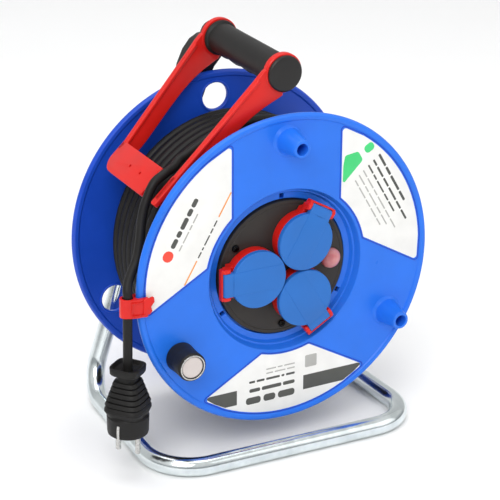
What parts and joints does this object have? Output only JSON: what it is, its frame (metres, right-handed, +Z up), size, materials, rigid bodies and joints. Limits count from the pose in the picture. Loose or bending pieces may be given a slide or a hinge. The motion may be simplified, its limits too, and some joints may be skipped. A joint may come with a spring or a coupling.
{
  "type": "extension cord reel",
  "caption": "Drum of wound mains cord turning on a bent tube frame, with lidded sockets in its hub, a crank knob, a carrying grip and a swinging cord guide.",
  "frame": {"origin": "middle of the reel's bounding box at floor level, without the free cord and its plug", "axes": "+Z up, the drum's axis along Y, the front of the drum with the sockets towards -Y, the free cord and plug at -X"},
  "size_m": [0.3171, 0.2071, 0.3633],
  "materials": {
    "zinc_steel": "bright zinc plating",
    "bright_steel": "plain bright steel",
    "black_steel": "black paint",
    "dark_steel": "blackened steel",
    "front_blue_plastic": "satin gloss",
    "rear_blue_plastic": "satin gloss",
    "lid_blue_plastic": "fine satin",
    "red_plastic": "satin gloss",
    "black_plastic": "satin",
    "socket_black_plastic": "satin",
    "black_rubber": "matt",
    "pink_rubber": "clear, smooth",
    "pale_plastic": "satin"
  },
  "bodies": {
    "frame": {"tube_frame": "zinc_steel", "axle_carrier": "black_steel", "carrier_bolt_1": "bright_steel", "carrier_bolt_2": "bright_steel", "carrier_nut_1": "bright_steel", "carrier_nut_2": "bright_steel", "tube_end_cap": "black_plastic", "axle_pin": "bright_steel", "axle_retainer": "black_plastic", "grip_cap": "black_plastic", "grip_core": "bright_steel", "handle_bracket": "black_plastic", "bracket_screw_1": "bright_steel", "bracket_screw_2": "bright_steel", "free_cord": "black_rubber", "plug_body": "black_rubber", "plug_pin_1": "bright_steel", "plug_pin_2": "bright_steel", "plug_earth_strip_1": "bright_steel", "plug_earth_strip_2": "bright_steel", "cord_clip": "red_plastic"},
    "drum": {"drum_front": "front_blue_plastic", "drum_rear": "rear_blue_plastic", "drum_screw_1": "bright_steel", "drum_screw_2": "bright_steel", "drum_screw_3": "bright_steel", "socket_panel": "black_plastic", "panel_screw_1": "dark_steel", "panel_screw_2": "dark_steel", "panel_screw_3": "dark_steel", "socket_ring_1": "red_plastic", "socket_ring_2": "red_plastic", "socket_ring_3": "red_plastic", "lid_pin_1": "bright_steel", "lid_pin_2": "bright_steel", "lid_pin_3": "bright_steel", "socket_insert_1": "socket_black_plastic", "socket_insert_2": "socket_black_plastic", "socket_insert_3": "socket_black_plastic", "earth_clip_1a": "bright_steel", "earth_clip_1b": "bright_steel", "earth_clip_2a": "bright_steel", "earth_clip_2b": "bright_steel", "earth_clip_3a": "bright_steel", "earth_clip_3b": "bright_steel", "thermal_cutout": "pale_plastic", "crank_pin": "bright_steel", "cord_inner_layers": "black_rubber", "cord_winding": "black_rubber"},
    "knob": {"crank_knob": "black_rubber", "knob_badge": "pale_plastic"},
    "lid_first": {"lid_1": "lid_blue_plastic"},
    "lid_second": {"lid_2": "lid_blue_plastic"},
    "lid_third": {"lid_3": "lid_blue_plastic"},
    "button": {"reset_button": "pink_rubber"},
    "guide": {"grip_sleeve": "black_rubber", "cable_guide_front": "red_plastic", "cable_guide_rear": "red_plastic"}
  },
  "joints": [
    {"name": "drum_spin", "type": "hinge", "parent": "frame", "child": "drum", "pos_m": [0, 0.05855, 0.1691], "axis": [0, 1, 0], "continuous": true},
    {"name": "knob_spin", "type": "hinge", "parent": "drum", "child": "knob", "pos_m": [-0.10363, -0.08345, 0.10683], "axis": [0, 1, 0], "continuous": true},
    {"name": "lid_1_hinge", "type": "hinge", "parent": "drum", "child": "lid_first", "pos_m": [-0.06149, -0.07465, 0.16803], "axis": [0.0175, 0, -0.9998], "range_deg": [0, 95], "stiffness_Nm_per_rad": 0.01, "springref_deg": -20.05},
    {"name": "lid_2_hinge", "type": "hinge", "parent": "drum", "child": "lid_second", "pos_m": [0.02982, -0.07465, 0.22289], "axis": [-0.8746, 0, 0.4848], "range_deg": [0, 95], "stiffness_Nm_per_rad": 0.01, "springref_deg": -20.05},
    {"name": "lid_3_hinge", "type": "hinge", "parent": "drum", "child": "lid_third", "pos_m": [0.03168, -0.07465, 0.11638], "axis": [0.8572, 0, 0.515], "range_deg": [0, 95], "stiffness_Nm_per_rad": 0.01, "springref_deg": -20.05},
    {"name": "reset_press", "type": "slide", "parent": "drum", "child": "button", "axis": [0, 1, 0], "range_m": [0, 0.002], "stiffness_N_per_m": 300, "springref_m": -0.003},
    {"name": "guide_swing", "type": "hinge", "parent": "frame", "child": "guide", "pos_m": [0, 0.00355, 0.346], "axis": [0, 1, 0], "range_deg": [0, 250]}
  ]
}
